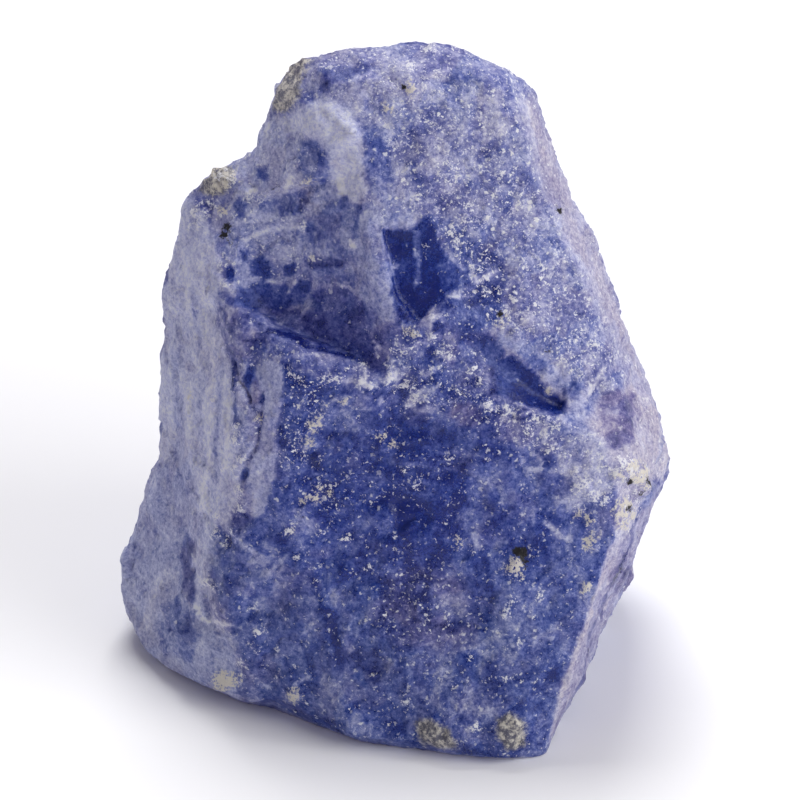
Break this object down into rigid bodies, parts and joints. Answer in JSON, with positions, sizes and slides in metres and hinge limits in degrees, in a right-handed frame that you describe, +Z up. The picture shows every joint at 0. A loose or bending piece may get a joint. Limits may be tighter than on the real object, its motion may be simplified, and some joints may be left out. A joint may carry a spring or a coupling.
{
  "type": "tanzanite crystal",
  "caption": "Rough violet-blue gem crystal with a blunt crown, a flat dark front face, a slab along one side and a low lobe at its foot.",
  "frame": {"origin": "on the ground under the middle of the stone's box", "axes": "+Z up, from the flat foot to the blunt crown; the large flat face looks along -Y; +X is to its right"},
  "size_m": [0.0136, 0.0114, 0.0166],
  "materials": {
    "crystal": "translucent violet-blue, frosted and speckled with white, cream and black mineral"
  },
  "bodies": {
    "root": {"crystal": "crystal"}
  },
  "joints": []
}
